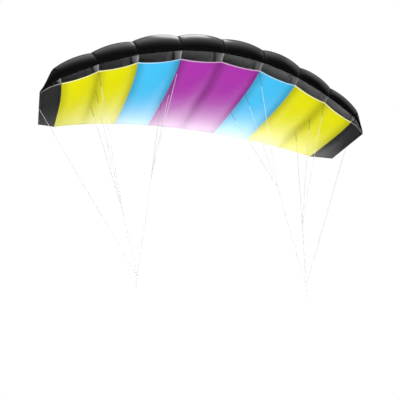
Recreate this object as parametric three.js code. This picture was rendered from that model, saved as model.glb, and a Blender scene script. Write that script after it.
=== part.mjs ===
// Two-line foil kite: ten air-filled cells between a black top skin and a coloured bottom skin,
// nine ribs with a cross-port each, and a bridle that gathers each half of the wing to a tow loop.
// Millimetres. X runs along the span, Y from leading to trailing edge along the air flow, Z up.
// The origin lies midway between the lower ends of the two tow loops.

import * as THREE from 'three';

// Driving dimensions of the wing
const ARC_RADIUS = 1392; // arch of the wing, seen from the front
const ROOT_CHORD = 640; // leading to trailing edge at the middle rib
const NOSE_SWEEP = 176; // how far the leading edge curves back, square term
const NOSE_SWEEP_EASE = 62; // fourth-power term that straightens it again near the tips
const TAIL_SWEEP = 175; // how far the trailing edge curves forward
const INCIDENCE = 0.185; // drop of the chord line towards the tail, per unit of chord
const NOSE_HEIGHT = 1042; // nose of the middle rib over the tow loops' ends
const NOSE_AHEAD = 27; // nose of the middle rib in front of the tow loops

// Tip edge, where the two skins are sewn to each other
const TIP_NOSE = 164; // leading corner, behind the middle rib's nose
const TIP_TAIL = 419; // trailing corner
const TIP_DROP = 12; // below the chord line of the last rib

// Section: roundness at the nose and slope at the tail, in chords
const TOP_NOSE = 0.536;
const TOP_TAIL = 0.207;
const LOW_NOSE = 0.204;
const LOW_TAIL = 0.108;
const TOP_LIP = 0.0068; // chord share where the top skin ends, under the nose
const LOW_LIP = 0.0555; // chord share where the bottom skin starts at a rib
const LIP_CUT = 0.0065; // how far its edge is cut back midway between ribs, in chords
const TOP_BULGE = 0.054; // swell of a cell's top between its ribs, in cell widths
const LOW_BULGE = 0.05;

// Cloth and cord
const SKIN = 1.2;
const RIB = 1.2;
const GAP = 0.3; // between pieces that are sewn or tied together
const RIB_TAIL = 0.985; // chord share where a rib runs out between the skins
const LINE_DIAMETER = 1.6;
const LINE_SIDES = 8;

// Cross-port in each rib: centre and half sizes in chords
const PORT = { along: 0.2, up: 0.06, halfLength: 0.041, halfHeight: 0.07 };
const PORT_SIDES = 16;

// Cells from the left tip to the right one; fill scales the swell of the cell
const CELLS = [
  { width: 88, cloth: 'black', fill: 0.8 },
  { width: 165, cloth: 'yellow', fill: 0.9 },
  { width: 171, cloth: 'yellow', fill: 0.95 },
  { width: 188, cloth: 'cyan', fill: 1.2 },
  { width: 188, cloth: 'magenta', fill: 1.0 },
  { width: 188, cloth: 'magenta', fill: 0.9 },
  { width: 188, cloth: 'cyan', fill: 1.15 },
  { width: 171, cloth: 'yellow', fill: 1.05 },
  { width: 165, cloth: 'yellow', fill: 0.9 },
  { width: 88, cloth: 'black', fill: 0.8 },
];

// Bridle: ribs counted from the middle one, chord shares of the lines, and the knots of one half
const BRIDLE_RIBS = [
  { rib: 1, knot: 'inner' },
  { rib: 3, knot: 'outer' },
];
const LINE_SHARES = { front: 0.068, middle: 0.32, rear: 0.61 };
const TIP_LINE_SHARE = 0.51;
const TIP_LINE_INSET = 2.5; // from the tip edge
const KNOTS = {
  inner: { x: 280, y: 90, z: 499 },
  outer: { x: 402, y: 101, z: 345 },
  tow: { x: 357, y: 0, z: 52 },
};
const KNOT_RADIUS = 3.6;
const KNOT_HALF_LENGTH = 4.8;
const KNOT_SPREAD = 2.1; // lines enter a knot side by side, this far apart
const FOOT_ROOM = 0.35; // room for a line's end face at a knot, in line radii

// Tow loop: one leg from its knot down, in loop widths off the middle and shares of the leg's height
const LOOP_WIDTH = 16;
const LOOP_LEG_SPREAD = 1.3; // half the distance between the legs at the knot
const LOOP_LEG = [
  { across: 0.3, up: 0.62 },
  { across: 0.5, up: 0.3 },
  { across: 0.33, up: 0.08 },
];

// Facets
const TOP_ROWS = 16;
const LOW_ROWS = 10;
const COLUMNS = 6;
const LINE_STEPS = 4;
const LOOP_STEPS = 36;
const KNOT_BANDS = 6;
const KNOT_SIDES = 10;

// Numerical limits
const ROOT_STEP = 1e-4; // step of the section's slope
const FOOT_STEP = 0.02; // step along a line in search of its clear end
const LEAST_SLANT = 0.5; // keeps the skin from growing without end where a panel falls steeply

const CLOTH = {
  black: new THREE.MeshStandardMaterial({ color: 0x0b0b0c, roughness: 0.42, metalness: 0 }),
  yellow: new THREE.MeshStandardMaterial({ color: 0xe6e10a, roughness: 0.5, metalness: 0 }),
  cyan: new THREE.MeshStandardMaterial({ color: 0x4cc4f4, roughness: 0.5, metalness: 0 }),
  magenta: new THREE.MeshStandardMaterial({ color: 0xab38a8, roughness: 0.5, metalness: 0 }),
  grey: new THREE.MeshStandardMaterial({ color: 0xb4b4b6, roughness: 0.6, metalness: 0 }),
};
const CORD = new THREE.MeshStandardMaterial({ color: 0xd8d8d6, roughness: 0.7, metalness: 0 });

const HALF_SPAN = CELLS.reduce((sum, cell) => sum + cell.width, 0) / 2;
const LAST_RIB = HALF_SPAN - CELLS[0].width;
const MIDDLE_RIB = CELLS.length / 2;

// Ribs and tip edges as stations along the arch, from -HALF_SPAN to HALF_SPAN
const STATIONS = [-HALF_SPAN];
for (const cell of CELLS) {
  STATIONS.push(STATIONS.at(-1) + cell.width);
}

const lerp = THREE.MathUtils.lerp;

function noseSweep(share) {
  return NOSE_SWEEP * share ** 2 - NOSE_SWEEP_EASE * share ** 4;
}

function tailSweep(share) {
  return ROOT_CHORD - TAIL_SWEEP * share ** 2;
}

// The wing's frame and plan at a station; beyond the last rib everything runs straight to the tip edge
function stationAt(station) {
  const out = Math.abs(station);
  const angle = station / ARC_RADIUS;
  const share = Math.min(out, LAST_RIB) / HALF_SPAN;
  const tip = Math.max(0, out - LAST_RIB) / (HALF_SPAN - LAST_RIB);
  const nose = lerp(noseSweep(share), TIP_NOSE, tip);
  const tail = lerp(tailSweep(share), TIP_TAIL, tip);
  return {
    x: ARC_RADIUS * Math.sin(angle),
    z: NOSE_HEIGHT - ARC_RADIUS * (1 - Math.cos(angle)),
    up: new THREE.Vector3(Math.sin(angle), 0, Math.cos(angle)),
    along: new THREE.Vector3(Math.cos(angle), 0, -Math.sin(angle)),
    nose: nose - NOSE_AHEAD,
    chord: tail - nose,
    full: 1 - tip,
    drop: TIP_DROP * tip,
  };
}

// Section in the rib's plane. The root runs from the top skin's lip (negative) over the nose to the tail (1)
// and its square is the chord share; the bottom skin has the same share on the lower curve.
function sectionPoint(place, root, side) {
  const share = root * root;
  const upper = side === 'top' && root > 0;
  const noseShape = upper ? TOP_NOSE : LOW_NOSE;
  const tailShape = upper ? TOP_TAIL : LOW_TAIL;
  const sign = side === 'top' ? 1 : -1;
  const shape = sign * root * (1 - share) * (noseShape * (1 - share) + tailShape * share);
  return new THREE.Vector2(
    place.nose + share * place.chord,
    (shape * place.full - INCIDENCE * share) * place.chord - place.drop,
  );
}

// Outward normal of the section in the rib's plane
function sectionNormal(place, root, side) {
  const open = { ...place, full: Math.max(place.full, ROOT_STEP) };
  const before = sectionPoint(open, root - ROOT_STEP, side);
  const after = sectionPoint(open, root + ROOT_STEP, side);
  const run = after.sub(before).normalize();
  const sign = side === 'top' ? 1 : -1;
  return new THREE.Vector2(-run.y * sign, run.x * sign);
}

// From the rib's plane to the kite's frame
function place3(place, point) {
  return new THREE.Vector3(place.x, point.x, place.z).addScaledVector(place.up, point.y);
}

function direction3(place, normal) {
  return new THREE.Vector3(0, normal.x, 0).addScaledVector(place.up, normal.y);
}

// How far a station lies inside its cell: 0 at the ribs, 1 midway between them
function cellArch(cell, station) {
  const across = (station - cell.start) / cell.width;
  return 4 * across * (1 - across);
}

// Root parameters of a skin's rows, from its lip to the tail
function rowRoot(place, arch, side, row, rows) {
  const lip = side === 'top' ? -Math.sqrt(TOP_LIP) : Math.sqrt(LOW_LIP + LIP_CUT * arch);
  return lerp(lip * place.full, 1, row / rows);
}

// A point of a skin's seam surface with its outward direction, swollen between the cell's ribs
function skinPoint(cell, side, station, root) {
  const place = stationAt(station);
  const swell = (side === 'top' ? TOP_BULGE : LOW_BULGE) * cell.width * cell.fill;
  const rise = swell * cellArch(cell, station) * (1 - root ** 4);
  const out = direction3(place, sectionNormal(place, root, side));
  const point = place3(place, sectionPoint(place, root, side)).addScaledVector(out, rise);
  return { point, out };
}

// One sewn panel: a closed sheet with its inner face half a gap off the seam surface
function panelGeometry(cell, side, rows) {
  const first = cell.start + GAP / 2;
  const last = cell.start + cell.width - GAP / 2;
  const grid = [];
  for (let row = 0; row <= rows; row += 1) {
    for (let column = 0; column <= COLUMNS; column += 1) {
      const station = lerp(first, last, column / COLUMNS);
      const root = rowRoot(stationAt(station), cellArch(cell, station), side, row, rows);
      grid.push(skinPoint(cell, side, station, root));
    }
  }
  return sheetGeometry(grid, rows, COLUMNS, side === 'top');
}

// Slant of the sheet against its outward direction at a grid point
function sheetSlant(grid, rows, columns, row, column) {
  const at = (r, c) => grid[r * (columns + 1) + c].point;
  const chordwise = at(Math.min(row + 1, rows), column).clone().sub(at(Math.max(row - 1, 0), column));
  const spanwise = at(row, Math.min(column + 1, columns)).clone().sub(at(row, Math.max(column - 1, 0)));
  const normal = spanwise.cross(chordwise).normalize();
  return Math.max(LEAST_SLANT, Math.abs(normal.dot(grid[row * (columns + 1) + column].out)));
}

// Closed sheet of even thickness from a grid of seam points
function sheetGeometry(grid, rows, columns, upward) {
  const positions = [];
  for (const depth of [GAP / 2, GAP / 2 + SKIN]) {
    grid.forEach(({ point, out }, index) => {
      const row = Math.floor(index / (columns + 1));
      const slant = sheetSlant(grid, rows, columns, row, index % (columns + 1));
      positions.push(...point.clone().addScaledVector(out, depth / slant).toArray());
    });
  }
  const layer = grid.length;
  const at = (row, column, outer) => row * (columns + 1) + column + (outer ? layer : 0);
  const faces = [];
  const quad = (a, b, c, d) => {
    faces.push(...(upward ? [a, b, c, a, c, d] : [a, c, b, a, d, c]));
  };
  for (let row = 0; row < rows; row += 1) {
    for (let column = 0; column < columns; column += 1) {
      for (const outer of [true, false]) {
        const ring = [at(row, column, outer), at(row, column + 1, outer)];
        ring.push(at(row + 1, column + 1, outer), at(row + 1, column, outer));
        quad(...(outer ? ring : ring.reverse()));
      }
    }
  }
  // Edges all round, from the inner layer to the outer one
  const edge = (rowA, columnA, rowB, columnB) => {
    const inner = [at(rowA, columnA, false), at(rowB, columnB, false)];
    quad(...inner, at(rowB, columnB, true), at(rowA, columnA, true));
  };
  for (let column = 0; column < columns; column += 1) {
    edge(0, column, 0, column + 1);
    edge(rows, column + 1, rows, column);
  }
  for (let row = 0; row < rows; row += 1) {
    edge(row + 1, 0, row, 0);
    edge(row, columns, row + 1, columns);
  }
  const geometry = new THREE.BufferGeometry();
  geometry.setAttribute('position', new THREE.Float32BufferAttribute(positions, 3));
  geometry.setIndex(faces);
  geometry.computeVertexNormals();
  return geometry;
}

// Rib outline on the same rows as the skins, half a gap inside the seam line, with its cross-port
function ribShape(place) {
  const tailRoot = Math.sqrt(RIB_TAIL);
  const inset = (root, side) => {
    const normal = sectionNormal(place, root, side);
    return sectionPoint(place, root, side).addScaledVector(normal, -GAP / 2);
  };
  const roots = (side, rows) => {
    const list = [];
    for (let row = 0; row <= rows; row += 1) {
      list.push(Math.min(rowRoot(place, 0, side, row, rows), tailRoot));
    }
    return list;
  };
  const outline = [
    ...roots('top', TOP_ROWS).map((root) => inset(root, 'top')),
    ...roots('low', LOW_ROWS).reverse().map((root) => inset(root, 'low')),
  ];
  const shape = new THREE.Shape(outline);
  const chord = place.chord;
  const portAlong = place.nose + PORT.along * chord;
  const portUp = (PORT.up - INCIDENCE * PORT.along) * chord;
  const port = new THREE.EllipseCurve(portAlong, portUp, PORT.halfLength * chord, PORT.halfHeight * chord);
  shape.holes.push(new THREE.Path(port.getSpacedPoints(PORT_SIDES).slice(0, PORT_SIDES)));
  return shape;
}

// The last rib on each side lies wholly inside its seam, because the tip cell falls away from it
function ribMesh(name, station) {
  const place = stationAt(station);
  const geometry = new THREE.ExtrudeGeometry(ribShape(place), { depth: RIB, bevelEnabled: false, steps: 1 });
  const inboard = Math.abs(station) === LAST_RIB ? Math.sign(station) * 0.5 : 0;
  geometry.translate(0, 0, -RIB * (0.5 + inboard));
  const mesh = new THREE.Mesh(geometry, CLOTH.grey);
  mesh.name = name;
  mesh.position.set(place.x, 0, place.z);
  const basis = new THREE.Matrix4().makeBasis(new THREE.Vector3(0, 1, 0), place.up, place.along);
  mesh.quaternion.setFromRotationMatrix(basis);
  return mesh;
}

// Round cord along a curve
function cordMesh(name, curve, steps) {
  const section = new THREE.Shape();
  for (let side = 0; side < LINE_SIDES; side += 1) {
    const turn = (2 * Math.PI * side) / LINE_SIDES;
    const method = side === 0 ? 'moveTo' : 'lineTo';
    section[method]((LINE_DIAMETER / 2) * Math.cos(turn), (LINE_DIAMETER / 2) * Math.sin(turn));
  }
  const geometry = new THREE.ExtrudeGeometry(section, { extrudePath: curve, steps, bevelEnabled: false });
  const mesh = new THREE.Mesh(geometry, CORD);
  mesh.name = name;
  return mesh;
}

// Knot as a small barrel on its long axis
function knotMesh(name, centre) {
  const profile = [];
  for (let band = 0; band <= KNOT_BANDS; band += 1) {
    const turn = (Math.PI * band) / KNOT_BANDS - Math.PI / 2;
    profile.push(new THREE.Vector2(KNOT_RADIUS * Math.cos(turn), KNOT_HALF_LENGTH * Math.sin(turn)));
  }
  profile[0].x = 0;
  profile[KNOT_BANDS].x = 0;
  const geometry = new THREE.LatheGeometry(profile, KNOT_SIDES);
  geometry.rotateX(Math.PI / 2);
  const mesh = new THREE.Mesh(geometry, CORD);
  mesh.name = name;
  mesh.position.copy(centre);
  return mesh;
}

// Where a line leaves the bottom skin, on its outer face
function hangPoint(station, share) {
  const place = stationAt(station);
  const root = Math.sqrt(share);
  const out = direction3(place, sectionNormal(place, root, 'low'));
  const point = place3(place, sectionPoint(place, root, 'low')).addScaledVector(out, GAP / 2 + SKIN);
  return { point, out };
}

// The end of a taut line under the cloth it is sewn to, clear of it by the gap
function lineTop(hang, target) {
  const run = target.clone().sub(hang.point).normalize();
  const slope = run.dot(hang.out);
  const lean = Math.sqrt(1 - slope * slope);
  return hang.point.clone().addScaledVector(run, (GAP + (LINE_DIAMETER / 2) * lean) / slope);
}

// The end of a line at a knot, clear of the barrel by the gap
function lineFoot(centre, towards, spread) {
  const aim = centre.clone().add(spread);
  const run = towards.clone().sub(aim).normalize();
  const room = new THREE.Vector3(KNOT_RADIUS, KNOT_RADIUS, KNOT_HALF_LENGTH);
  room.addScalar(GAP + (FOOT_ROOM * LINE_DIAMETER) / 2);
  const foot = aim.clone();
  const inside = () => foot.clone().sub(centre).divide(room).lengthSq() < 1;
  while (inside()) {
    foot.addScaledVector(run, FOOT_STEP);
  }
  return foot;
}

function knotCentre(knot, sign) {
  return new THREE.Vector3(sign * knot.x, knot.y, knot.z);
}

// All cords and knots of one half of the kite
function bridleHalf(side, sign) {
  const half = new THREE.Group();
  const tow = knotCentre(KNOTS.tow, sign);
  half.add(knotMesh(`tow_knot_${side}`, tow));
  BRIDLE_RIBS.forEach(({ rib, knot }, order) => {
    const centre = knotCentre(KNOTS[knot], sign);
    half.add(knotMesh(`${knot}_knot_${side}`, centre));
    Object.entries(LINE_SHARES).forEach(([place, share], index) => {
      const spread = new THREE.Vector3(0, (index - 1) * KNOT_SPREAD, 0);
      const hang = hangPoint(STATIONS[MIDDLE_RIB + sign * rib], share);
      const foot = lineFoot(centre, hang.point, spread);
      const curve = new THREE.LineCurve3(lineTop(hang, foot), foot);
      half.add(cordMesh(`${knot}_${place}_line_${side}`, curve, LINE_STEPS));
    });
    const spread = new THREE.Vector3(sign * (order - 1) * KNOT_SPREAD, 0, 0);
    const lowEnd = lineFoot(tow, centre, spread);
    const highEnd = lineFoot(centre, lowEnd, new THREE.Vector3());
    half.add(cordMesh(`${knot}_leader_${side}`, new THREE.LineCurve3(highEnd, lowEnd), LINE_STEPS));
  });
  const tipHang = hangPoint(sign * (HALF_SPAN - TIP_LINE_INSET), TIP_LINE_SHARE);
  const tipFoot = lineFoot(tow, tipHang.point, new THREE.Vector3(sign * KNOT_SPREAD, 0, 0));
  const tipCurve = new THREE.LineCurve3(lineTop(tipHang, tipFoot), tipFoot);
  half.add(cordMesh(`tip_line_${side}`, tipCurve, LINE_STEPS));
  half.add(towLoop(`tow_loop_${side}`, tow));
  return half;
}

// Teardrop loop under a tow knot, both legs ending at the knot, its lowest point at the origin's height
function towLoop(name, knot) {
  const legTop = knot.z - KNOT_HALF_LENGTH - GAP;
  const pointAt = (across, up) => new THREE.Vector3(knot.x, knot.y + across, up);
  const leg = (side) => [
    pointAt(side * LOOP_LEG_SPREAD, legTop),
    ...LOOP_LEG.map(({ across, up }) => pointAt(side * across * LOOP_WIDTH, up * legTop)),
  ];
  const foot = pointAt(0, LINE_DIAMETER / 2);
  const path = [...leg(-1), foot, ...leg(1).reverse()];
  return cordMesh(name, new THREE.CatmullRomCurve3(path), LOOP_STEPS);
}

const kite = new THREE.Group();

CELLS.forEach((row, index) => {
  const cell = { ...row, start: STATIONS[index] };
  const number = String(index + 1).padStart(2, '0');
  const top = new THREE.Mesh(panelGeometry(cell, 'top', TOP_ROWS), CLOTH.black);
  top.name = `top_panel_${number}`;
  const bottom = new THREE.Mesh(panelGeometry(cell, 'low', LOW_ROWS), CLOTH[cell.cloth]);
  bottom.name = `bottom_panel_${number}`;
  kite.add(top, bottom);
});

STATIONS.slice(1, -1).forEach((station, index) => {
  kite.add(ribMesh(`rib_${index + 1}`, station));
});

kite.add(bridleHalf('left', -1), bridleHalf('right', 1));

export default kite;
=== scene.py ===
"""Looks of a two-line foil kite: ripstop skins and ribs, stitching, bridle, camera and light."""

import math
from types import SimpleNamespace

import bpy
import numpy as np
from bpy.props import FloatProperty, FloatVectorProperty, IntProperty, PointerProperty
from mathutils import Matrix, Vector


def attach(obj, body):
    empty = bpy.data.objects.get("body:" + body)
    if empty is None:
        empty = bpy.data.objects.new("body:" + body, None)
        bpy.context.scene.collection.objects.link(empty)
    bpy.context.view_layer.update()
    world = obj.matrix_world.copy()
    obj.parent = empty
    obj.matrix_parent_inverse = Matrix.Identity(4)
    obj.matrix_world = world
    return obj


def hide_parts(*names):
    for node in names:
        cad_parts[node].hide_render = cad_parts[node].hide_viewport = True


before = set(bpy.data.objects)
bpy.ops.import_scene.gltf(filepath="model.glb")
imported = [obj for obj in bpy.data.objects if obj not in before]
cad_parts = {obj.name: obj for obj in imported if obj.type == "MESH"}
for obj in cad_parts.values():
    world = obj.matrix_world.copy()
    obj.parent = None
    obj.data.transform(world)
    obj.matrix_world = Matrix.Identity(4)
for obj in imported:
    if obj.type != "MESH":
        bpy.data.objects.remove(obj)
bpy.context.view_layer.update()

bl_info = {
    "name": "Foil kite",
    "version": (1, 0, 0),
    "blender": (4, 5, 0),
    "location": "3D View > Sidebar > Foil kite",
    "description": "Sews the skins and ribs of a two-line foil kite and ties its bridle",
    "category": "Object",
}

BODY = "root"
CLOTH_MAP = "cloth"
CORD_MAP = "braid"

# Cells from the left tip to the right one: fill scales the swell of a cell, and the last number
# sets the painted glow that pales its bottom towards the tail
CELLS = (
    {"width": 0.088, "cloth": "black", "fill": 0.8, "painted_glow": 0.05},
    {"width": 0.165, "cloth": "yellow", "fill": 0.9, "painted_glow": 0.18},
    {"width": 0.171, "cloth": "yellow", "fill": 0.95, "painted_glow": 0.3},
    {"width": 0.188, "cloth": "cyan", "fill": 1.2, "painted_glow": 0.5},
    {"width": 0.188, "cloth": "magenta", "fill": 1.0, "painted_glow": 0.42},
    {"width": 0.188, "cloth": "magenta", "fill": 0.9, "painted_glow": 0.42},
    {"width": 0.188, "cloth": "cyan", "fill": 1.15, "painted_glow": 0.5},
    {"width": 0.171, "cloth": "yellow", "fill": 1.05, "painted_glow": 0.3},
    {"width": 0.165, "cloth": "yellow", "fill": 0.9, "painted_glow": 0.18},
    {"width": 0.088, "cloth": "black", "fill": 0.8, "painted_glow": 0.05},
)
WIDTHS = [cell["width"] for cell in CELLS]
HALF_SPAN = sum(WIDTHS) / 2
LAST_RIB = HALF_SPAN - WIDTHS[0]
STATIONS = np.concatenate([[0.0], np.cumsum(WIDTHS)]) - HALF_SPAN
MIDDLE_RIB = len(CELLS) // 2

# Bridle: ribs counted from the middle one, chord shares of the lines, and the knots of one half
BRIDLE_RIBS = ({"rib": 1, "knot": "inner"}, {"rib": 3, "knot": "outer"})
LINE_SHARES = {"front": 0.068, "middle": 0.32, "rear": 0.61}
TIP_LINE_SHARE = 0.51
TIP_LINE_INSET = 0.0025
KNOTS = {
    "inner": Vector((0.280, 0.090, 0.499)),
    "outer": Vector((0.402, 0.101, 0.345)),
    "tow": Vector((0.357, 0.000, 0.052)),
}
HALVES = {"left": -1, "right": 1}

# Tow loop: one leg from its knot down, in loop widths off the middle and shares of the leg's height
LOOP_LEG = (
    {"across": 0.3, "up": 0.62},
    {"across": 0.5, "up": 0.3},
    {"across": 0.33, "up": 0.08},
)

# Gathers along a seam: wave lengths in metres and their shares of the rise
GATHERS = (
    {"length": 0.017, "share": 0.5},
    {"length": 0.027, "share": 0.7},
    {"length": 0.046, "share": 0.6},
)
GATHER_SPREAD = (0.9, 1.1)

# Rows of a panel inside its hems, as distances from the edge
HEM_ROWS = (0.0005, 0.0012, 0.0022, 0.0035, 0.0052, 0.0068, 0.0078, 0.0088, 0.0102)
HEM_CLEARANCE = 1.2

# Solids: the gap between two of them and the thickness of their skins
GAP = 0.0003
SKIN = 0.0012

# Steps and limits in the shaping of a panel
PROFILE_STEPS = 4001
ROOT_STEP = 1e-4
LEAST_SLANT = 0.5
TINY = 1e-12

# Edges of a panel: the step beside a hem, the rounding, flattening and paleness of the lip (a paler
# hem edge, partly a painted highlight), and the stretch without gathers at the tail
HEM_STEP = 0.0018
LIP_ROUNDING = 0.0012
LIP_FLATTENING = 0.7
PALE_LIP = (0.003, 0.0055)
CALM_TAIL = 0.06

# Creases round the end of a bridle line: their number in a turn, and how soon they fade
CREASES = 7
CREASE_FADE = 0.6

# What a cloth's material reads at each point: painted shade beside seams, the pale lip, painted
# glow
MARKS = ("seam", "lip", "fade")

# Painted shade in bands beside seams, weaker towards the tail, and a painted glow paling the
# bottom skin towards the tail, by chord share
TOP_SEAM = 0.005
BOTTOM_SEAM = 0.03
SEAM_WEAKENING = 0.7
SEAM_WEAKENS = (0.4, 0.95)
PALING_START = 0.35
PALING_SPAN = 0.62
PALING_POWER = 2
# Near white of the painted glow at the tail
PAINTED_GLOW_WHITE = (0.92, 0.92, 0.92)

# Ribs: clearance to the skins, waves of the slack cloth, and the tip ribs' shift inboard
RIB_CLEARANCE = 0.0001
RIB_SLACK = 0.0008
RIB_WAVES = {"along": 21, "up": 13}
TIP_RIB_SHIFT = 0.0006

# Mesh of a rib: steps of an edge, rings round the port, points of a ring, and crowding of the rings
RIB_STEPS = 400
RIB_RINGS = 10
RIB_SIDES = 160
RIB_CROWDING = 1.3

# Painted shade at a rib's edge, where it meets the skins: its strength, and how soon it ends
RIB_EDGE_SHADE = 0.4
RIB_EDGE_FALL = 6

# Cords: steps along them, sides round them, and the shortest side that still shows a direction
LINE_STEPS = 24
LINE_SIDES = 10
LOOP_STEPS = 6
LEAST_SIDE = 0.1

# Knots: steps of a turn, how soon and how far the ends tuck in, and the taper to both ends
KNOT_STEPS = 22
KNOT_SIDES = 8
KNOT_TUCK = 6
KNOT_TUCKED = 0.35
KNOT_TAPER = 0.18

# Stitches: faces of one, spans of their random sizes, and their lift off the cloth in threads
STITCH_SIDES = 5
STITCH_RINGS = 4
STITCH_LEAST = (0.9, 0.9, 0.85)
STITCH_MOST = (1.1, 1.1, 1.1)
STITCH_SEED = 5
STITCH_LIFT = 0.25

SHARP_ANGLE = math.radians(50)
WHITE = (1.0, 1.0, 1.0, 1.0)

# Sockets of a Mix node for colours, whose names repeat: factor, first and second colour, and result
COLOUR_MIX_INPUTS = (0, 6, 7)
COLOUR_MIX_OUTPUT = 2

# Shares and scales of the patterns in each material
RIPSTOP = SimpleNamespace(
    rip_sharpness=40, weave_sharpness=2, broad_scale=11.0, broad_detail=3.0, crumple_scale=55.0,
    crumple_detail=4.0, worn=0.9, rip_shade=0.14, specular=0.5, sheen_roughness=0.35,
    rip_height=0.5, weave_height=0.06, crumple_height=1.2, bump=0.35, bump_depth=0.0004)
# A braid's grooves between strands are painted darker, as painted shade
BRAID = SimpleNamespace(
    strands=8, soil_scale=60.0, soil_detail=3.0, soil=0.5, groove_shade=0.7, worn=0.85, shaded_top_edge=0.002,
    roughness=0.6, sheen=0.2, bump=0.15, bump_depth=0.0002)
THREAD = SimpleNamespace(soil_scale=30.0, soil_detail=3.0, worn=0.75, roughness=0.55)
FLOOR = SimpleNamespace(
    reach=30.0, cloud_scale=0.4, cloud_detail=2.0, darkest=0.86, palest=0.9, bounce=0.25, glow=0.62,
    roughness=0.8)

# Finishes of the cloth: painted shade beside seams, span of roughness, roughness at seams, and
# sheen
TOP_FINISH = {"shade": 0.3, "gloss": (0.15, 0.2), "matt_seam": 0.8, "sheen": 0.0}
BOTTOM_FINISH = {"shade": 0.6, "gloss": (0.28, 0.32), "matt_seam": 0.9, "sheen": 0.0}
INNER_FINISH = {"shade": 0.8, "gloss": (0.5, 0.65), "matt_seam": 0.6, "sheen": 0.2}
RIB_FINISH = {"shade": 0.8, "gloss": (0.5, 0.6), "matt_seam": 0.6, "sheen": 0.1}
# A hem's paler lip edge, partly a painted highlight of its rolled edge
HEM_PALENESS = 0.4
TIP_PALENESS = 0.024
TIP_HEM_PALENESS = 0.25

# Camera: width of its sensor in millimetres
SENSOR_WIDTH = 36.0

# Soft lights; the fills light the cloth without being mirrored in it
OVERHEAD_SOFT = {
    "place": (0.0, 0.34, 2.08), "aim": (0.0, 0.2, 1.1), "size": (0.5, 0.75), "power": 4.0}
RIGHT_SOFT = {"place": (2.2, 0.1, 2.2), "aim": (0.5, 0.1, 1.0), "size": (1.8, 1.8), "power": 5.0}
FILLS = {
    "front_fill": {
        "place": (-0.5, -1.9, -1.0), "aim": (0.0, 0.2, 1.0), "size": (1.6, 1.6), "power": 71},
    "low_fill": {
        "place": (-1.0, 1.2, -1.2), "aim": (-0.1, 0.5, 0.95), "size": (1.6, 1.6), "power": 44},
    "near_fill": {
        "place": (-1.2, -2.6, 0.4), "aim": (0.0, 0.1, 0.8), "size": (2.0, 2.0), "power": 45},
}

# Collections of the pieces that the strips behind the tail and the near fill light, and no others
TAIL_LIT = "lit_by_tail_strips"
NEAR_LIT = "lit_by_near_fill"

# Bent row of strip lights behind and below the tail, each from its place to the next one's
TAIL_ROW = (
    {"start": Vector((-0.525, 0.803, 0.851)), "strength": 0.8},
    {"start": Vector((0.000, 0.803, 0.860)), "strength": 1.15},
    {"start": Vector((0.400, 0.803, 0.755)), "strength": 1.35},
)
TAIL_ROW_END = Vector((0.867, 0.803, 0.462))
TAIL_ROW_HEIGHT = 0.146
TAIL_ROW_AIM = Vector((0.05, 0.5, 0.93))


class WingSettings(bpy.types.PropertyGroup):
    """Shape of the wing, the same as that of the solids it dresses."""

    arc_radius: FloatProperty(
        name="Arch radius", description="Arch of the wing seen from the front", default=1.392,
        unit="LENGTH")
    root_chord: FloatProperty(
        name="Root chord", description="Leading to trailing edge at the middle rib", default=0.640,
        unit="LENGTH")
    nose_sweep: FloatProperty(
        name="Nose sweep", description="How far the leading edge curves back", default=0.176,
        unit="LENGTH")
    nose_sweep_ease: FloatProperty(
        name="Nose sweep ease", description="Straightens the leading edge again near the tips",
        default=0.062, unit="LENGTH")
    tail_sweep: FloatProperty(
        name="Tail sweep", description="How far the trailing edge curves forward", default=0.175,
        unit="LENGTH")
    incidence: FloatProperty(
        name="Incidence", description="Drop of the chord line towards the tail, per unit of chord",
        default=0.185)
    nose_height: FloatProperty(
        name="Nose height", description="Nose of the middle rib over the tow loops' ends",
        default=1.042, unit="LENGTH")
    nose_ahead: FloatProperty(
        name="Nose ahead", description="Nose of the middle rib in front of the tow loops",
        default=0.027, unit="LENGTH")
    tip_nose: FloatProperty(
        name="Tip nose", description="Leading corner of the tip edge", default=0.164, unit="LENGTH")
    tip_tail: FloatProperty(
        name="Tip tail", description="Trailing corner of the tip edge", default=0.419,
        unit="LENGTH")
    tip_drop: FloatProperty(
        name="Tip drop", description="Tip edge below the last rib's chord line", default=0.012,
        unit="LENGTH")
    top_nose: FloatProperty(
        name="Top nose", description="Roundness of the top at the nose", default=0.536)
    top_tail: FloatProperty(
        name="Top tail", description="Slope of the top at the tail", default=0.207)
    low_nose: FloatProperty(
        name="Bottom nose", description="Roundness of the bottom at the nose", default=0.204)
    low_tail: FloatProperty(
        name="Bottom tail", description="Slope of the bottom at the tail", default=0.108)
    top_lip: FloatProperty(
        name="Top lip", description="Chord share where the top skin ends, under the nose",
        default=0.0068)
    low_lip: FloatProperty(
        name="Bottom lip", description="Chord share where the bottom skin starts at a rib",
        default=0.0555)
    lip_cut: FloatProperty(
        name="Lip cut",
        description="How far the bottom lip is cut back between its ribs, in chords",
        default=0.0065)
    top_bulge: FloatProperty(
        name="Top bulge", description="Swell of a cell's top between its ribs, in cell widths",
        default=0.054)
    low_bulge: FloatProperty(
        name="Bottom bulge",
        description="Swell of a cell's bottom between its ribs, in cell widths", default=0.05)
    rib_tail: FloatProperty(
        name="Rib tail", description="Chord share where a rib runs out between the skins",
        default=0.985)
    port_along: FloatProperty(
        name="Port along", description="Centre of a cross-port, in chords", default=0.2)
    port_up: FloatProperty(
        name="Port up", description="Centre of a cross-port over the chord line", default=0.06)
    port_length: FloatProperty(
        name="Port length", description="Half length of a cross-port", default=0.041)
    port_height: FloatProperty(
        name="Port height", description="Half height of a cross-port", default=0.07)


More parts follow.
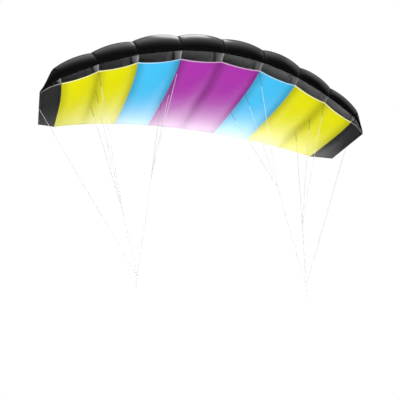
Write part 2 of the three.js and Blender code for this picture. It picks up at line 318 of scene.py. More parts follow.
class ClothSettings(bpy.types.PropertyGroup):
    """Cloth of the skins and ribs."""

    thickness: FloatProperty(
        name="Thickness", description="Thickness of the cloth with its coating", default=0.0008,
        unit="LENGTH")
    seam_gap: FloatProperty(
        name="Seam gap", description="Distance of two panels at a seam", default=0.0001,
        unit="LENGTH")
    hem_width: FloatProperty(
        name="Hem width", description="Width of the folded hems", default=0.008, unit="LENGTH")
    hem_rise: FloatProperty(
        name="Hem rise", description="How far a hem stands proud", default=0.0005, unit="LENGTH")
    pillow_rise: FloatProperty(
        name="Pillow rise", description="Fullness of the cloth beside a seam", default=0.0005,
        unit="LENGTH")
    top_pillow_rise: FloatProperty(
        name="Top pillow rise", description="Fullness of the top skin beside a seam", default=0.002,
        unit="LENGTH")
    pillow_reach: FloatProperty(
        name="Pillow reach", description="Distance over which the cloth fills beside a seam",
        default=0.006, unit="LENGTH")
    gather_rise: FloatProperty(
        name="Gather rise", description="Height of the small gathers along a seam", default=0.00025,
        unit="LENGTH")
    gather_reach: FloatProperty(
        name="Gather reach", description="Distance of the gathers' crests from the seam",
        default=0.007, unit="LENGTH")
    strain_rise: FloatProperty(
        name="Strain rise", description="Height of the creases that fan out from a bridle line",
        default=0.0006, unit="LENGTH")
    strain_reach: FloatProperty(
        name="Strain reach", description="Distance of the highest creases from a bridle line",
        default=0.035, unit="LENGTH")
    rip_pitch: FloatProperty(
        name="Ripstop pitch", description="Distance of the thicker threads", default=0.005,
        unit="LENGTH")
    weave_pitch: FloatProperty(
        name="Weave pitch", description="Distance of the fine threads", default=0.0007,
        unit="LENGTH")
    black: FloatVectorProperty(
        name="Black", description="Top skin and tips", default=(0.004, 0.004, 0.0045), size=3,
        subtype="COLOR")
    # Painted light: a pale grey in place of the cloth's own colour, for the lit insides of the
    # cells
    lit_inner_side: FloatVectorProperty(
        name="Lit inner side", description="Side of the cloth that shows inside the cells",
        default=(0.39, 0.39, 0.395), size=3, subtype="COLOR")
    yellow: FloatVectorProperty(
        name="Yellow", description="Outer panels", default=(0.775, 0.745, 0.001), size=3,
        subtype="COLOR")
    cyan: FloatVectorProperty(
        name="Cyan", description="Panels between yellow and magenta", default=(0.06, 0.53, 0.90),
        size=3, subtype="COLOR")
    magenta: FloatVectorProperty(
        name="Magenta", description="Middle panels", default=(0.41, 0.035, 0.40), size=3,
        subtype="COLOR")
    grey: FloatVectorProperty(
        name="Grey", description="Ribs", default=(0.54, 0.54, 0.55), size=3, subtype="COLOR")
    rows: IntProperty(name="Rows", description="Rows of a panel from lip to tail", default=130)
    columns: IntProperty(
        name="Columns", description="Columns of a panel across its cell", default=36)


class BridleSettings(bpy.types.PropertyGroup):
    """Cords of the bridle."""

    diameter: FloatProperty(
        name="Line diameter", description="Diameter of the braided line", default=0.0016,
        unit="LENGTH")
    knot_radius: FloatProperty(
        name="Knot radius", description="Radius of a knot", default=0.0036, unit="LENGTH")
    knot_half_length: FloatProperty(
        name="Knot half length", description="Half length of a knot", default=0.0048, unit="LENGTH")
    knot_spread: FloatProperty(
        name="Knot spread", description="Distance of the lines where they enter a knot",
        default=0.0021, unit="LENGTH")
    knot_turns: IntProperty(name="Knot turns", description="Turns of line round a knot", default=4)
    loop_width: FloatProperty(
        name="Loop width", description="Width of a tow loop", default=0.016, unit="LENGTH")
    loop_leg_spread: FloatProperty(
        name="Loop leg spread", description="Half the distance of the legs at the knot",
        default=0.0013, unit="LENGTH")
    colour: FloatVectorProperty(
        name="Line colour", description="Braided line", default=(0.86, 0.86, 0.84), size=3,
        subtype="COLOR")
    # Painted shade on the upper ends of the lines, where they hang under the sail
    shaded_top_length: FloatProperty(
        name="Shaded top length", description="Painted shade on the upper ends of the lines, under the sail", default=0.065,
        unit="LENGTH")
    shaded_top_colour: FloatVectorProperty(
        name="Shaded top colour", description="Painted shade on the upper ends of the lines", default=(0.05, 0.05, 0.055),
        size=3, subtype="COLOR")


class StitchSettings(bpy.types.PropertyGroup):
    """Sewing thread."""

    length: FloatProperty(
        name="Stitch length", description="Length of one stitch", default=0.0028, unit="LENGTH")
    pitch: FloatProperty(
        name="Stitch pitch", description="Distance from stitch to stitch", default=0.0036,
        unit="LENGTH")
    thread: FloatProperty(
        name="Thread", description="Diameter of the thread", default=0.00042, unit="LENGTH")
    margin: FloatProperty(
        name="Seam margin", description="Distance of a row of stitches from its seam",
        default=0.0045, unit="LENGTH")
    hem_margin: FloatProperty(
        name="Hem margin", description="Distance of a row of stitches from a hem's edge",
        default=0.006, unit="LENGTH")
    dark: FloatVectorProperty(
        name="Dark thread", description="Thread of the top skin", default=(0.006, 0.006, 0.0065),
        size=3, subtype="COLOR")
    pale: FloatVectorProperty(
        name="Pale thread", description="Thread of the bottom skin", default=(0.32, 0.32, 0.31),
        size=3, subtype="COLOR")


class StageSettings(bpy.types.PropertyGroup):
    """Camera, lights and floor."""

    camera_place: FloatVectorProperty(
        name="Camera", description="Place of the camera", default=(-1.029, -2.791, -0.475), size=3,
        subtype="TRANSLATION", unit="LENGTH")
    azimuth: FloatProperty(
        name="Azimuth", description="Turn of the camera round the kite",
        default=math.radians(-18.38), unit="ROTATION")
    elevation: FloatProperty(
        name="Elevation", description="Rise of the camera over the horizon",
        default=math.radians(-16.05), unit="ROTATION")
    lens: FloatProperty(
        name="Lens", description="Focal length in millimetres", default=68.1, unit="CAMERA")
    floor_height: FloatProperty(
        name="Floor height", description="Ground under the flying kite", default=-6.0,
        unit="LENGTH")
    sky: FloatProperty(
        name="Sky", description="Strength of the soft light from straight above", default=1.6)
    sky_focus: FloatProperty(
        name="Sky focus", description="How closely the sky's light keeps to straight above",
        default=6.0)
    glow: FloatProperty(
        name="Tail glow", description="Radiance of the strips behind the tail", default=2.9)


def mix(a, b, share):
    """From a at share 0 to b at share 1."""
    return a + (b - a) * share


def ease(low, high, value):
    """Smooth step from 0 at low to 1 at high."""
    share = np.clip((value - low) / (high - low), 0, 1)
    return share * share * (3 - 2 * share)


def unit(vectors):
    """Vectors of length 1."""
    return vectors / np.maximum(np.linalg.norm(vectors, axis=-1, keepdims=True), TINY)


def lengths_along(points):
    """Distance of each point from the first one, along the line through all of them."""
    steps = np.linalg.norm(np.diff(points, axis=0), axis=1)
    return np.concatenate([[0.0], np.cumsum(steps)])


# Shape of the wing


def stations_at(wing, station):
    """Frame and plan of the wing at stations along the arch, in metres from the middle rib."""
    station = np.asarray(station, float)
    out = np.abs(station)
    angle = station / wing.arc_radius
    share = np.minimum(out, LAST_RIB) / HALF_SPAN
    tip = np.clip((out - LAST_RIB) / (HALF_SPAN - LAST_RIB), 0, 1)
    nose = mix(wing.nose_sweep * share**2 - wing.nose_sweep_ease * share**4, wing.tip_nose, tip)
    tail = mix(wing.root_chord - wing.tail_sweep * share**2, wing.tip_tail, tip)
    return SimpleNamespace(
        x=wing.arc_radius * np.sin(angle),
        z=wing.nose_height - wing.arc_radius * (1 - np.cos(angle)),
        sin=np.sin(angle),
        cos=np.cos(angle),
        nose=nose - wing.nose_ahead,
        chord=tail - nose,
        full=1 - tip,
        drop=wing.tip_drop * tip,
    )


def section(wing, place, root, top):
    """Along and up in the rib's plane.

    The root's square is the chord share. A root below zero lies under the nose.
    """
    share = root**2
    upper = top & (root > 0)
    nose_shape = np.where(upper, wing.top_nose, wing.low_nose)
    tail_shape = np.where(upper, wing.top_tail, wing.low_tail)
    sign = 1 if top else -1
    shape = sign * root * (1 - share) * (nose_shape * (1 - share) + tail_shape * share)
    along = place.nose + share * place.chord
    up = (shape * place.full - wing.incidence * share) * place.chord - place.drop
    return along, up


def section_normal(wing, place, root, top):
    """Outward normal of the section in the rib's plane."""
    opened = SimpleNamespace(**vars(place))
    opened.full = np.maximum(place.full, ROOT_STEP)
    along_0, up_0 = section(wing, opened, root - ROOT_STEP, top)
    along_1, up_1 = section(wing, opened, root + ROOT_STEP, top)
    run = along_1 - along_0
    rise = up_1 - up_0
    length = np.hypot(run, rise)
    sign = 1 if top else -1
    return -rise / length * sign, run / length * sign


def in_frame(place, along, up):
    """From the rib's plane to the kite's frame."""
    parts = np.broadcast_arrays(place.x + place.sin * up, along, place.z + place.cos * up)
    return np.stack(parts, -1)


def direction_in_frame(place, along, up):
    """A direction, from the rib's plane to the kite's frame."""
    return np.stack(np.broadcast_arrays(place.sin * up, along, place.cos * up), -1)


def lip_root(wing, top):
    """Root of the chord share where a skin has its lip."""
    return -math.sqrt(wing.top_lip) if top else math.sqrt(wing.low_lip)


def panel_rows(wing, cloth, top):
    """Rows of a panel as shares of the way from lip to tail, and their distances from the lip.

    They are even along the cloth at the middle rib, with closer rows inside the two hems.
    """
    dense = np.linspace(0, 1, PROFILE_STEPS)
    along, up = section(wing, stations_at(wing, 0.0), mix(lip_root(wing, top), 1, dense), top)
    reach = np.concatenate([[0.0], np.cumsum(np.hypot(np.diff(along), np.diff(up)))])
    length = reach[-1]
    near = np.array(HEM_ROWS)
    even = np.linspace(0, length, cloth.rows + 1)
    clear = HEM_ROWS[-1] * HEM_CLEARANCE
    even = even[(even > clear) & (even < length - clear)]
    marks = np.concatenate([[0.0], near, even, length - near[::-1], [length]])
    return np.interp(marks, reach, dense), marks


def gathers(seed, reach, distance, cloth):
    """Small uneven waves along a sewn seam, highest a little beside it."""
    draws = np.random.default_rng(seed)
    waves = np.zeros_like(reach)
    for row in GATHERS:
        phase = draws.uniform(0, 2 * math.pi)
        length = row["length"] * draws.uniform(*GATHER_SPREAD)
        waves = waves + row["share"] * np.sin(2 * math.pi * reach / length + phase)
    ratio = distance / cloth.gather_reach
    return cloth.gather_rise * waves * ratio * np.exp(1 - ratio)


def strain(cloth, plan):
    """Creases that fan out over the bottom skin from the bridle lines sewn into its ribs."""
    share = plan.root**2
    rise = np.zeros(np.broadcast(plan.station, share).shape)
    for row in BRIDLE_RIBS:
        for sign in HALVES.values():
            for order, line_share in enumerate(LINE_SHARES.values()):
                across = plan.station - STATIONS[MIDDLE_RIB + sign * row["rib"]]
                back = (share - line_share) * plan.place.chord
                ratio = np.hypot(across, back) / cloth.strain_reach
                turn = np.arctan2(across, back)
                fan = np.cos(CREASES * turn + order + row["rib"])
                rise = rise + ratio * np.exp(1 - ratio) * fan * np.exp(-CREASE_FADE * ratio)
    return cloth.strain_rise * rise * (1 - np.exp(-plan.distance / cloth.pillow_reach))


def panel_plan(wing, cloth, index, top):
    """Where the points of a panel lie between its seams, its lip and its tail."""
    start = STATIONS[index]
    width = CELLS[index]["width"]
    turns = np.linspace(0, math.pi, cloth.columns + 1)
    across = (1 - np.cos(turns)) / 2
    station = start + mix(cloth.seam_gap / 2, width - cloth.seam_gap / 2, across)[None, :]
    shares, marks = panel_rows(wing, cloth, top)
    place = stations_at(wing, station)
    left = station - start
    right = start + width - station
    arch = 4 * left * right / width**2
    lip = lip_root(wing, top) if top else np.sqrt(wing.low_lip + wing.lip_cut * arch)
    return SimpleNamespace(
        station=station,
        place=place,
        left=left,
        right=right,
        distance=np.minimum(left, right),
        arch=arch,
        root=mix(lip * place.full, 1, shares[:, None]),
        reach=marks[:, None] * place.chord / wing.root_chord,
        to_tail=(marks[-1] - marks[:, None]) * place.chord / wing.root_chord,
    )


def panel_rise(wing, cloth, index, top, plan):
    """How far a panel rises off its ribs: swell of the cell, full seams, gathers and creases."""
    cell = CELLS[index]
    swell = (wing.top_bulge if top else wing.low_bulge) * cell["width"] * cell["fill"]
    calm = ease(0.0, CALM_TAIL, plan.to_tail)
    pillow = cloth.top_pillow_rise if top else cloth.pillow_rise
    seed = 2 * index + int(top)
    rise = swell * plan.arch * (1 - plan.root**4)
    rise = rise + calm * pillow * (1 - np.exp(-plan.distance / cloth.pillow_reach))
    for number, distance in enumerate((plan.left, plan.right)):
        rise = rise + calm * gathers((seed, number), plan.reach, distance + 0 * plan.reach, cloth)
    if not top:
        rise = rise + calm * strain(cloth, plan)
    return rise


def panel_grid(wing, cloth, index, top):
    """Outer and inner points of a panel, with its map and the marks that its material reads."""
    plan = panel_plan(wing, cloth, index, top)
    rise = panel_rise(wing, cloth, index, top, plan)
    place, root, reach, distance = plan.place, plan.root, plan.reach, plan.distance
    along, up = section(wing, place, root, top)
    normal = section_normal(wing, place, root, top)
    out = direction_in_frame(place, *normal)
    seam_points = in_frame(place, along, up) + out * rise[..., None]
    spanwise = np.gradient(seam_points, axis=1)
    chordwise = np.gradient(seam_points, axis=0)
    facing = unit(np.cross(spanwise, chordwise))
    slant = np.maximum(LEAST_SLANT, np.abs((facing * out).sum(-1)))
    edge = np.minimum(reach, plan.to_tail)
    hem = 1 - ease(cloth.hem_width, cloth.hem_width + HEM_STEP, edge)
    rounding = 1 - ease(0.0, LIP_ROUNDING, reach)
    outer_depth = GAP / 2 + SKIN + cloth.hem_rise * hem * (1 - LIP_FLATTENING * rounding)
    inner_depth = GAP / 2 + SKIN - cloth.thickness
    # Painted shade in bands beside the seams, weaker towards the tail
    band = TOP_SEAM if top else BOTTOM_SEAM
    weaker = 1 - SEAM_WEAKENING * ease(*SEAM_WEAKENS, root**2)
    # Painted glow: the bottom skin painted paler towards the tail
    paling = np.clip((root**2 - PALING_START) / PALING_SPAN, 0, 1) ** PALING_POWER
    return SimpleNamespace(
        outer=seam_points + out * (outer_depth / slant)[..., None],
        inner=seam_points + out * (inner_depth / slant)[..., None],
        uv=np.stack(np.broadcast_arrays(plan.station, reach), -1),
        seam=np.exp(-((distance / band) ** 2)) * weaker,
        # Paler hem edge at the lip, partly a painted highlight
        lip=1 - ease(*PALE_LIP, reach) + 0 * distance,
        fade=(0.0 if top else CELLS[index]["painted_glow"]) * paling,
        left=plan.left + 0 * reach,
        reach=reach + 0 * distance,
    )


# Meshes


def shell_faces(rows, columns, flip, wrap):
    """Quads of a closed sheet: its outer and inner layer and the rims between them."""
    index = np.arange(rows * columns).reshape(rows, columns)
    if wrap:
        index = np.concatenate([index, index[:, :1]], axis=1)
    corners = (index[:-1, :-1], index[:-1, 1:], index[1:, 1:], index[1:, :-1])
    outer = np.stack(corners, -1).reshape(-1, 4)
    layer = rows * columns
    if wrap:
        loops = [index[0], index[-1][::-1]]
    else:
        around = [index[0, :-1], index[:-1, -1], index[-1, :0:-1], index[:0:-1, 0], index[:1, 0]]
        loops = [np.concatenate(around)]
    rims = []
    for loop in loops:
        here = loop[:-1]
        after = loop[1:]
        rims.append(np.stack([after, here, here + layer, after + layer], -1))
    rim = np.concatenate(rims)
    inner = outer[:, ::-1] + layer
    faces = np.concatenate([outer, rim, inner])
    second = np.zeros(len(faces), np.int32)
    second[len(outer) + len(rim):] = 1
    return (faces[:, ::-1] if flip else faces), second


def new_piece(name, points, faces, materials, corners, map_name, second=None, marks=None):
    """A smooth mesh object with its materials, its map by face corner and its marks by point.

    second is 1 on the faces that have the second material.
    """
    mesh = bpy.data.meshes.new(name)
    polygons = [list(map(int, face)) for face in faces]
    mesh.from_pydata(np.asarray(points, float).tolist(), [], polygons)
    for material in materials:
        mesh.materials.append(material)
    if second is not None:
        mesh.polygons.foreach_set("material_index", second)
    layer = mesh.uv_layers.new(name=map_name)
    layer.uv.foreach_set("vector", np.asarray(corners, np.float32).ravel())
    for mark, values in (marks or {}).items():
        attribute = mesh.attributes.new(mark, "FLOAT", "POINT")
        attribute.data.foreach_set("value", np.asarray(values, np.float32).ravel())
    mesh.shade_smooth()
    mesh.set_sharp_from_angle(angle=SHARP_ANGLE)
    mesh.update()
    piece = bpy.data.objects.new(name, mesh)
    bpy.context.scene.collection.objects.link(piece)
    return piece


def shell_piece(name, grid, flip, materials, wrap=False):
    """A closed sheet from a grid's outer and inner points."""
    rows, columns = grid.outer.shape[:2]
    points = np.concatenate([grid.outer.reshape(-1, 3), grid.inner.reshape(-1, 3)])
    faces, second = shell_faces(rows, columns, flip, wrap)
    uv = np.concatenate([grid.uv.reshape(-1, 2)] * 2)
    marks = {}
    for mark in MARKS:
        values = getattr(grid, mark).ravel()
        marks[mark] = np.concatenate([values, values])
    return new_piece(name, points, faces, materials, uv[faces.ravel()], CLOTH_MAP, second, marks)


def tube_piece(name, path, radius, sides, material):
    """A round cord along a path, closed round its girth and at both ends, mapped in metres."""
    path = np.asarray(path, float)
    run = unit(np.gradient(path, axis=0))
    side = np.cross(run[0], [0.0, 0.0, 1.0])
    if np.linalg.norm(side) < LEAST_SIDE:
        side = np.cross(run[0], [1.0, 0.0, 0.0])
    turns = np.linspace(0, 2 * math.pi, sides, endpoint=False)
    rings = []
    for forward, centre in zip(run, path):
        side = side - forward * (side @ forward)
        side = side / np.linalg.norm(side)
        other = np.cross(forward, side)
        circle = np.outer(np.cos(turns), side) + np.outer(np.sin(turns), other)
        rings.append(centre + radius * circle)
    points = np.concatenate([*rings, path[:1], path[-1:]])
    length = lengths_along(path)
    girth = 2 * math.pi * radius * np.arange(sides + 1) / sides
    first_end = len(path) * sides
    faces = []
    corners = []
    for ring in range(len(path) - 1):
        for step in range(sides):
            here = ring * sides + step
            after = ring * sides + (step + 1) % sides
            faces.append((here, after, after + sides, here + sides))
            corners += [
                (girth[step], length[ring]), (girth[step + 1], length[ring]),
                (girth[step + 1], length[ring + 1]), (girth[step], length[ring + 1])]
    last_ring = first_end - sides
    for step in range(sides):
        after = (step + 1) % sides
        faces.append((first_end, after, step))
        faces.append((first_end + 1, last_ring + step, last_ring + after))
        corners += [(girth[step], -radius), (girth[step + 1], 0.0), (girth[step], 0.0)]
        corners += [
            (girth[step], length[-1] + radius), (girth[step], length[-1]),
            (girth[step + 1], length[-1])]
    piece = new_piece(name, points, faces, [material], corners, CORD_MAP)
    bpy.data.collections[NEAR_LIT].objects.link(piece)
    return piece


def smooth_path(points, steps):
    """Curve through points, each stretch shaped by its neighbours."""
    points = [np.asarray(point, float) for point in points]
    ends = [2 * points[0] - points[1], *points, 2 * points[-1] - points[-2]]
    path = []
    for before, here, after, beyond in zip(ends, ends[1:], ends[2:], ends[3:]):
        for share in np.linspace(0, 1, steps, endpoint=False):
            slope_here = (after - before) / 2
            slope_after = (beyond - here) / 2
            bend = 3 * (after - here) - 2 * slope_here - slope_after
            twist = 2 * (here - after) + slope_here + slope_after
            path.append(here + slope_here * share + bend * share**2 + twist * share**3)
    path.append(points[-1])
    return np.array(path)


# Materials


def add_node(tree, kind, links=(), values=(), **settings):
    """A new node with its settings, and its values and links by socket name or number."""
    made = tree.nodes.new(kind)
    for name, value in settings.items():
        setattr(made, name, value)
    for socket, value in dict(values).items():
        made.inputs[socket].default_value = value
    for socket, source in dict(links).items():
        tree.links.new(source, made.inputs[socket])
    return made


def feed(tree, socket, term):
    """Set a socket to a value, or link it to another node's output."""
    if isinstance(term, bpy.types.NodeSocket):
        tree.links.new(term, socket)
    else:
        socket.default_value = term


def math_node(tree, operation, *terms):
    """A Math node's result; a term is a number or another node's output."""
    made = add_node(tree, "ShaderNodeMath", operation=operation)
    for socket, term in zip(made.inputs, terms):
        feed(tree, socket, term)
    return made.outputs[0]


def blend_colours(tree, share, first, second):
    """A Mix node's colour; each term is a value or another node's output."""
    made = add_node(tree, "ShaderNodeMix", data_type="RGBA")
    for number, term in zip(COLOUR_MIX_INPUTS, (share, first, second)):
        feed(tree, made.inputs[number], term)
    return made.outputs[COLOUR_MIX_OUTPUT]


def noise(tree, vector, scale, detail):
    """A Noise texture's value at a vector."""
    made = add_node(
        tree, "ShaderNodeTexNoise", links={"Vector": vector},
        values={"Scale": scale, "Detail": detail})
    return made.outputs[0]


def raise_bumps(tree, shader, height, strength, depth):
    """Give a shader bumps of a height."""
    made = add_node(
        tree, "ShaderNodeBump", links={"Height": height},
        values={"Strength": strength, "Distance": depth})
    tree.links.new(made.outputs[0], shader.inputs["Normal"])


def new_material(name):
    """An empty node material with its output and shader."""
    material = bpy.data.materials.new(name)
    material.use_nodes = True
    tree = material.node_tree
    tree.nodes.clear()
    shader = add_node(tree, "ShaderNodeBsdfPrincipled")
    add_node(tree, "ShaderNodeOutputMaterial", links={0: shader.outputs[0]})
    return material, tree, shader


def thread_lines(tree, coordinate, pitch, sharpness):
    """1 on lines that lie a pitch apart, falling to 0 between them."""
    wave = math_node(tree, "COSINE", math_node(tree, "MULTIPLY", coordinate, math.pi / pitch))
    return math_node(tree, "POWER", math_node(tree, "ABSOLUTE", wave), sharpness)


def opaque(colour):
    """A colour with full alpha."""
    return (*colour, 1.0)


def grey(level):
    """An opaque grey."""
    return (level, level, level, 1.0)


def darker(colour, share):
    """A colour scaled towards black."""
    return tuple(channel * share for channel in colour)


def paler(colour, share):
    """A colour mixed towards white."""
    return tuple(mix(channel, 1.0, share) for channel in colour)


def ripstop(name, cloth, colour, pale, shade, gloss, matt_seam, sheen):
    """Coated ripstop: a square grid of thick threads, fine weave, crumple, painted shade beside the
    seams, a paler lip and a painted glow towards the tail.

    pale is the colour of a hem's edge, partly a painted highlight, shade the painted shade beside
    the seams, gloss the span of roughness, matt_seam the roughness at a seam, and sheen the soft
    gleam of bare cloth.
    """
    material, tree, shader = new_material(name)
    uv = add_node(tree, "ShaderNodeUVMap", uv_map=CLOTH_MAP).outputs[0]
    split = add_node(tree, "ShaderNodeSeparateXYZ", links={0: uv})
    across, along = split.outputs[0], split.outputs[1]
    rip = math_node(
        tree, "MAXIMUM", thread_lines(tree, across, cloth.rip_pitch, RIPSTOP.rip_sharpness),
        thread_lines(tree, along, cloth.rip_pitch, RIPSTOP.rip_sharpness))
    weave = math_node(
        tree, "MULTIPLY", thread_lines(tree, across, cloth.weave_pitch, RIPSTOP.weave_sharpness),
        thread_lines(tree, along, cloth.weave_pitch, RIPSTOP.weave_sharpness))
    broad = noise(tree, uv, RIPSTOP.broad_scale, RIPSTOP.broad_detail)
    crumple = noise(tree, uv, RIPSTOP.crumple_scale, RIPSTOP.crumple_detail)
    seam, lip, fade = (
        add_node(tree, "ShaderNodeAttribute", attribute_name=mark).outputs["Fac"] for mark in MARKS)

    dark = opaque(darker(colour, shade))
    rip_shade = math_node(tree, "MULTIPLY", rip, RIPSTOP.rip_shade)
    base = blend_colours(tree, broad, opaque(darker(colour, RIPSTOP.worn)), opaque(colour))
    base = blend_colours(tree, rip_shade, base, dark)
    # Painted shade in the bands beside the seams
    base = blend_colours(tree, seam, base, dark)
    # Paler hem edge at the lip, partly a painted highlight
    base = blend_colours(tree, lip, base, opaque(pale))
    # Painted glow towards the tail
    base = blend_colours(tree, fade, base, opaque(PAINTED_GLOW_WHITE))
    tree.links.new(base, shader.inputs["Base Color"])

    rough = add_node(
        tree, "ShaderNodeMapRange", links={"Value": crumple},
        values={"To Min": gloss[0], "To Max": gloss[1]})
    matt = add_node(
        tree, "ShaderNodeMapRange", links={"Value": seam, "To Min": rough.outputs[0]},
        values={"To Max": matt_seam})
    tree.links.new(matt.outputs[0], shader.inputs["Roughness"])
    shader.inputs["Specular IOR Level"].default_value = RIPSTOP.specular
    shader.inputs["Sheen Weight"].default_value = sheen
    shader.inputs["Sheen Roughness"].default_value = RIPSTOP.sheen_roughness

    height = math_node(
        tree, "ADD", math_node(tree, "MULTIPLY", rip, RIPSTOP.rip_height),
        math_node(tree, "MULTIPLY", weave, RIPSTOP.weave_height))
    crumpled = math_node(tree, "MULTIPLY", crumple, RIPSTOP.crumple_height)
    height = math_node(tree, "ADD", height, crumpled)
    raise_bumps(tree, shader, height, RIPSTOP.bump, RIPSTOP.bump_depth)
    return material


def braid(name, bridle, tail=0.0):
    """Braided line of crossing strands, with painted shade in the grooves between them.

    Its first stretch, as long as tail, is darker: painted shade where the line hangs under the
    sail.
    """
    material, tree, shader = new_material(name)
    uv = add_node(tree, "ShaderNodeUVMap", uv_map=CORD_MAP).outputs[0]
    split = add_node(tree, "ShaderNodeSeparateXYZ", links={0: uv})
    around, along = split.outputs[0], split.outputs[1]
    pitch = math.pi * bridle.diameter / BRAID.strands
    one = thread_lines(tree, math_node(tree, "ADD", around, along), pitch, 1)
    other = thread_lines(tree, math_node(tree, "SUBTRACT", around, along), pitch, 1)
    strands = math_node(tree, "MAXIMUM", one, other)
    soil = noise(tree, uv, BRAID.soil_scale, BRAID.soil_detail)
    soiled = math_node(tree, "MULTIPLY", soil, BRAID.soil)
    # Painted shade in the grooves between the strands
    groove_shade = opaque(darker(bridle.colour, BRAID.groove_shade))
    base = blend_colours(tree, strands, groove_shade, opaque(bridle.colour))
    base = blend_colours(tree, soiled, base, opaque(darker(bridle.colour, BRAID.worn)))
    # Painted shade on the line's upper stretch, under the sail
    if tail:
        past = add_node(
            tree, "ShaderNodeMapRange", links={"Value": along},
            values={"From Min": tail - BRAID.shaded_top_edge, "From Max": tail + BRAID.shaded_top_edge})
        base = blend_colours(tree, past.outputs[0], opaque(bridle.shaded_top_colour), base)
    tree.links.new(base, shader.inputs["Base Color"])
    shader.inputs["Roughness"].default_value = BRAID.roughness
    shader.inputs["Sheen Weight"].default_value = BRAID.sheen
    raise_bumps(tree, shader, strands, BRAID.bump, BRAID.bump_depth)
    return material


def thread(name, colour):
    """Sewing thread with a little soil."""
    material, tree, shader = new_material(name)
    place = add_node(tree, "ShaderNodeTexCoord").outputs["Object"]
    soil = noise(tree, place, THREAD.soil_scale, THREAD.soil_detail)
    base = blend_colours(tree, soil, opaque(darker(colour, THREAD.worn)), opaque(colour))
    tree.links.new(base, shader.inputs["Base Color"])
    shader.inputs["Roughness"].default_value = THREAD.roughness
    return material


def floor_finish(name):
    """Plain pale floor, lit up for the camera alone."""
    material, tree, shader = new_material(name)
    place = add_node(tree, "ShaderNodeTexCoord").outputs["Object"]
    cloud = noise(tree, place, FLOOR.cloud_scale, FLOOR.cloud_detail)
    seen = add_node(tree, "ShaderNodeLightPath").outputs["Is Camera Ray"]
    base = blend_colours(tree, cloud, grey(FLOOR.darkest), grey(FLOOR.palest))
    base = blend_colours(tree, seen, grey(FLOOR.bounce), base)
    tree.links.new(base, shader.inputs["Base Color"])
    shader.inputs["Roughness"].default_value = FLOOR.roughness
    shader.inputs["Emission Color"].default_value = WHITE
    glow = math_node(tree, "MULTIPLY", seen, FLOOR.glow)
    tree.links.new(glow, shader.inputs["Emission Strength"])
    return material


# Bridle


def stand_for(piece, node):
    """Let a piece ride on the kite and stand for a solid."""
    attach(piece, BODY)
    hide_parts(node)


def hang_point(wing, station, share):
    """Where a line leaves the bottom skin, on its outer face."""
    place = stations_at(wing, station)
    root = np.float64(math.sqrt(share))
    out = direction_in_frame(place, *section_normal(wing, place, root, False))
    point = in_frame(place, *section(wing, place, root, False)) + out * (GAP / 2 + SKIN)
    return Vector(point)


def tie_line(name, node, path, bridle, material):
    """One straight line of the bridle from its upper end to the knot at its lower one."""
    top, foot = path
    points = [top.lerp(foot, step / LINE_STEPS) for step in range(LINE_STEPS + 1)]
    piece = tube_piece(name, points, bridle.diameter / 2, LINE_SIDES, material)
    stand_for(piece, node)


def wind_knot(name, node, centre, bridle, material):
    """A knot: turns of line wound side by side round the lines it gathers, its ends tucked in."""
    radius = bridle.diameter / 2
    winding = bridle.knot_radius - radius
    half = bridle.knot_half_length - radius
    steps = KNOT_STEPS * bridle.knot_turns
    path = []
    for step in range(steps + 1):
        share = step / steps
        turn = 2 * math.pi * bridle.knot_turns * share
        tuck = min(1.0, KNOT_TUCK * share, KNOT_TUCK * (1 - share))
        from_middle = 2 * share - 1
        wide = winding * mix(KNOT_TUCKED, 1, math.sqrt(tuck)) * (1 - KNOT_TAPER * from_middle**2)
        offset = Vector((wide * math.cos(turn), wide * math.sin(turn), half * from_middle))
        path.append(centre + offset)
    piece = tube_piece(name, path, radius, KNOT_SIDES, material)
    stand_for(piece, node)
    return piece


def tow_loop(name, node, knot, bridle, material):
    """Teardrop loop under a tow knot, both legs ending at the knot."""
    leg_top = knot.z - bridle.knot_half_length - GAP
    leg = [(bridle.loop_leg_spread, leg_top)]
    leg += [(row["across"] * bridle.loop_width, row["up"] * leg_top) for row in LOOP_LEG]
    route = [(-across, up) for across, up in leg]
    route.append((0.0, bridle.diameter / 2))
    route += leg[::-1]
    path = smooth_path([(knot.x, knot.y + across, up) for across, up in route], LOOP_STEPS)
    piece = tube_piece(name, path, bridle.diameter / 2, LINE_SIDES, material)
    stand_for(piece, node)


def tie_half(wing, bridle, side, sign, cord, shaded_top_cord):
    """Knots, lines, leaders and tow loop of one half; sign is -1 on the left."""
    centres = {}
    for knot, place in KNOTS.items():
        centres[knot] = Vector((sign * place.x, place.y, place.z))
        wind_knot(
            f"{knot}_wound_knot_{side}", f"{knot}_knot_{side}", centres[knot], bridle, cord)
    for position, row in enumerate(BRIDLE_RIBS, -1):
        knot = row["knot"]
        station = STATIONS[MIDDLE_RIB + sign * row["rib"]]
        for order, (where, share) in enumerate(LINE_SHARES.items(), -1):
            hang = hang_point(wing, station, share)
            foot = centres[knot] + Vector((0, order * bridle.knot_spread, 0))
            tie_line(
                f"{knot}_{where}_cord_{side}", f"{knot}_{where}_line_{side}", (hang, foot),
                bridle, shaded_top_cord)
        foot = centres["tow"] + Vector((sign * position * bridle.knot_spread, 0, 0))
        tie_line(
            f"{knot}_leader_cord_{side}", f"{knot}_leader_{side}", (centres[knot], foot),
            bridle, cord)
    tip = hang_point(wing, sign * (HALF_SPAN - TIP_LINE_INSET), TIP_LINE_SHARE)
    foot = centres["tow"] + Vector((sign * bridle.knot_spread, 0, 0))
    tie_line(f"tip_cord_{side}", f"tip_line_{side}", (tip, foot), bridle, cord)
    tow_loop(
        f"tow_loop_cord_{side}", f"tow_loop_{side}", centres["tow"], bridle, cord)


